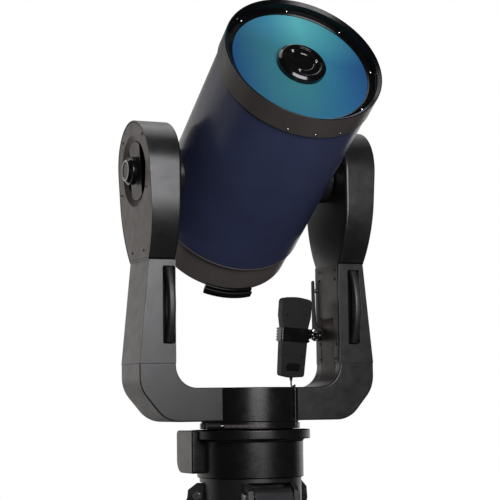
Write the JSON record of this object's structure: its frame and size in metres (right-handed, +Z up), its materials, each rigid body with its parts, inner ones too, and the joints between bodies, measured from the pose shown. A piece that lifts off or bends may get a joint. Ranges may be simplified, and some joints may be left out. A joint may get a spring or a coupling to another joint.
{
  "type": "schmidt cassegrain telescope",
  "caption": "Large fork-mounted catadioptric telescope with a motor-driven altazimuth fork, wired handset and folding field tripod.",
  "frame": {"origin": "on the floor under the azimuth axis", "axes": "+Z up along the azimuth axis; the front of the tube looks towards -Y; the altitude axis runs along X"},
  "size_m": [1.0482, 0.9594, 2.2813],
  "materials": {
    "fork_paint": "powder-coated satin",
    "cover_paint": "satin",
    "drive_paint": "satin",
    "tube_blue": "satin",
    "ring_paint": "satin",
    "ring_black": "gloss",
    "tripod_paint": "satin",
    "leg_metal": "satin",
    "steel": "polished",
    "worm_brass": "machined",
    "cast_alu": "machined",
    "knob_plastic": "moulded",
    "gloss_black": "gloss",
    "coated_glass": "coated",
    "silvered": "polished",
    "grip_rubber": "matt",
    "cable_pvc": "matt",
    "key_rubber": "matt"
  },
  "bodies": {
    "tripod": {"tripod_head": "tripod_paint", "leg_bolts": "steel", "drive_base": "drive_paint", "az_wheel": "worm_brass"},
    "leg_1": {"leg_outer_1": "tripod_paint"},
    "leg_1_lower": {"leg_inner_1": "leg_metal"},
    "leg_1_lock": {"leg_knob_1": "knob_plastic"},
    "leg_2": {"leg_outer_2": "tripod_paint"},
    "leg_2_lower": {"leg_inner_2": "leg_metal"},
    "leg_2_lock": {"leg_knob_2": "knob_plastic"},
    "leg_3": {"leg_outer_3": "tripod_paint"},
    "leg_3_lower": {"leg_inner_3": "leg_metal"},
    "leg_3_lock": {"leg_knob_3": "knob_plastic"},
    "spreader": {"spreader_hub": "tripod_paint"},
    "spreader_arm_1": {"spreader_1": "tripod_paint"},
    "spreader_arm_2": {"spreader_2": "tripod_paint"},
    "spreader_arm_3": {"spreader_3": "tripod_paint"},
    "draw_rod": {"tension_rod": "steel"},
    "fork": {"fork_base": "fork_paint", "hub_ring": "drive_paint", "fork_arm_l": "fork_paint", "fork_arm_r": "fork_paint", "fork_head_l": "fork_paint", "fork_head_r": "fork_paint", "head_covers": "cover_paint", "carry_handles": "grip_rubber", "arm_cover": "cover_paint", "fork_screws": "steel", "az_drive": "cast_alu", "alt_drive": "cast_alu", "handset_bracket": "knob_plastic", "handset_body": "knob_plastic", "cord_fittings": "cable_pvc", "handset_cord": "cable_pvc"},
    "az_worm_shaft": {"az_worm": "steel"},
    "az_lock": {"az_lock_knob": "knob_plastic"},
    "alt_worm_shaft": {"alt_worm": "steel"},
    "clutch": {"clutch_knob": "gloss_black"},
    "button_up": {"key_up": "key_rubber"},
    "button_down": {"key_down": "key_rubber"},
    "button_left": {"key_left": "key_rubber"},
    "button_right": {"key_right": "key_rubber"},
    "button_enter": {"key_enter": "key_rubber"},
    "tube": {"tube_shell": "tube_blue", "front_ring": "ring_paint", "corrector": "coated_glass", "retaining_ring": "ring_black", "secondary_holder": "gloss_black", "secondary_mirror": "silvered", "rear_cell": "ring_paint", "rear_foot": "grip_rubber", "trunnions": "fork_paint", "alt_wheel": "worm_brass", "baffle_tube": "ring_black", "visual_back": "ring_black", "finder_bracket": "ring_black", "finder_tube": "ring_black"},
    "mirror": {"primary_mirror": "silvered"},
    "focuser": {"focus_knob": "knob_plastic"},
    "mirror_lock_knob": {"mirror_lock": "knob_plastic"}
  },
  "joints": [
    {"name": "azimuth", "type": "hinge", "parent": "tripod", "child": "fork", "pos_m": [0, 0, 1.04], "axis": [0, 0, 1], "continuous": true},
    {"name": "azimuth_worm", "type": "hinge", "parent": "fork", "child": "az_worm_shaft", "pos_m": [0, -0.087, 1.053], "axis": [1, 0, 0], "continuous": true},
    {"name": "azimuth_lock", "type": "hinge", "parent": "fork", "child": "az_lock", "pos_m": [-0.14266, -0.04635, 1.053], "axis": [-0.9511, -0.309, 0], "range_deg": [0, 120]},
    {"name": "altitude", "type": "hinge", "parent": "fork", "child": "tube", "pos_m": [0, 0, 1.805], "axis": [-1, 0, 0], "range_deg": [-42.5, 57.5]},
    {"name": "altitude_worm", "type": "hinge", "parent": "fork", "child": "alt_worm_shaft", "pos_m": [-0.295, 0, 1.718], "axis": [0, 1, 0], "range_deg": [-3401, 4601]},
    {"name": "altitude_clutch", "type": "hinge", "parent": "fork", "child": "clutch", "pos_m": [-0.323, 0, 1.805], "axis": [-1, 0, 0], "range_deg": [0, 180]},
    {"name": "key_up_press", "type": "slide", "parent": "fork", "child": "button_up", "axis": [0, -1, 0], "range_m": [0, 0.0015], "stiffness_N_per_m": 400},
    {"name": "key_down_press", "type": "slide", "parent": "fork", "child": "button_down", "axis": [0, -1, 0], "range_m": [0, 0.0015], "stiffness_N_per_m": 400},
    {"name": "key_left_press", "type": "slide", "parent": "fork", "child": "button_left", "axis": [0, -1, 0], "range_m": [0, 0.0015], "stiffness_N_per_m": 400},
    {"name": "key_right_press", "type": "slide", "parent": "fork", "child": "button_right", "axis": [0, -1, 0], "range_m": [0, 0.0015], "stiffness_N_per_m": 400},
    {"name": "key_enter_press", "type": "slide", "parent": "fork", "child": "button_enter", "axis": [0, -1, 0], "range_m": [0, 0.0015], "stiffness_N_per_m": 400},
    {"name": "mirror_focus", "type": "slide", "parent": "tube", "child": "mirror", "axis": [0, -0.8434, 0.5373], "range_m": [-0.008, 0.008]},
    {"name": "focus_turn", "type": "hinge", "parent": "tube", "child": "focuser", "pos_m": [0.105, 0.2565, 1.55622], "axis": [0, -0.8434, 0.5373], "range_deg": [-2900, 2900]},
    {"name": "mirror_lock_turn", "type": "hinge", "parent": "tube", "child": "mirror_lock_knob", "pos_m": [-0.105, 0.2565, 1.55622], "axis": [0, -0.8434, 0.5373], "range_deg": [0, 90]},
    {"name": "leg_fold_1", "type": "hinge", "parent": "tripod", "child": "leg_1", "pos_m": [0, -0.15, 0.848], "axis": [1, 0, 0], "range_deg": [0, 26]},
    {"name": "leg_fold_2", "type": "hinge", "parent": "tripod", "child": "leg_2", "pos_m": [0.1299, 0.075, 0.848], "axis": [-0.5, 0.866, 0], "range_deg": [0, 26]},
    {"name": "leg_fold_3", "type": "hinge", "parent": "tripod", "child": "leg_3", "pos_m": [-0.1299, 0.075, 0.848], "axis": [-0.5, -0.866, 0], "range_deg": [0, 26]},
    {"name": "leg_extend_1", "type": "slide", "parent": "leg_1", "child": "leg_1_lower", "axis": [0, -0.4384, -0.8988], "range_m": [0, 0.25]},
    {"name": "leg_lock_1", "type": "hinge", "parent": "leg_1", "child": "leg_1_lock", "pos_m": [0, -0.45248, 0.36469], "axis": [0, -0.8988, 0.4384], "range_deg": [0, 180]},
    {"name": "leg_extend_2", "type": "slide", "parent": "leg_2", "child": "leg_2_lower", "axis": [0.3796, 0.2192, -0.8988], "range_m": [0, 0.25]},
    {"name": "leg_lock_2", "type": "hinge", "parent": "leg_2", "child": "leg_2_lock", "pos_m": [0.39186, 0.22624, 0.36469], "axis": [0.7784, 0.4494, 0.4384], "range_deg": [0, 180]},
    {"name": "leg_extend_3", "type": "slide", "parent": "leg_3", "child": "leg_3_lower", "axis": [-0.3796, 0.2192, -0.8988], "range_m": [0, 0.25]},
    {"name": "leg_lock_3", "type": "hinge", "parent": "leg_3", "child": "leg_3_lock", "pos_m": [-0.39186, 0.22624, 0.36469], "axis": [-0.7784, 0.4494, 0.4384], "range_deg": [0, 180]},
    {"name": "spreader_slide", "type": "slide", "parent": "tripod", "child": "spreader", "axis": [0, 0, 1], "range_m": [0, 0.0987]},
    {"name": "spreader_swing_1", "type": "hinge", "parent": "spreader", "child": "spreader_arm_1", "pos_m": [0, -0.044, 0.62], "axis": [1, 0, 0], "range_deg": [0, 44.47]},
    {"name": "spreader_swing_2", "type": "hinge", "parent": "spreader", "child": "spreader_arm_2", "pos_m": [0.0381, 0.022, 0.62], "axis": [-0.5, 0.866, 0], "range_deg": [0, 44.47]},
    {"name": "spreader_swing_3", "type": "hinge", "parent": "spreader", "child": "spreader_arm_3", "pos_m": [-0.0381, 0.022, 0.62], "axis": [-0.5, -0.866, 0], "range_deg": [0, 44.47]},
    {"name": "draw_rod_turn", "type": "hinge", "parent": "tripod", "child": "draw_rod", "pos_m": [0, 0, 0.575], "axis": [0, 0, 1], "range_deg": [0, 360]}
  ],
  "couplings": [
    {"joint": "azimuth_worm", "follows": "azimuth", "ratio": 80},
    {"joint": "altitude_worm", "follows": "altitude", "ratio": 80},
    {"joint": "focus_turn", "follows": "mirror_focus", "rad_per_m": 6283.2},
    {"joint": "leg_fold_2", "follows": "leg_fold_1", "ratio": 1},
    {"joint": "leg_fold_3", "follows": "leg_fold_1", "ratio": 1},
    {"joint": "spreader_slide", "follows": "leg_fold_1", "m_per_rad": 0.2164},
    {"joint": "spreader_swing_1", "follows": "leg_fold_1", "ratio": 1.7066},
    {"joint": "spreader_swing_2", "follows": "leg_fold_1", "ratio": 1.7066},
    {"joint": "spreader_swing_3", "follows": "leg_fold_1", "ratio": 1.7066}
  ]
}
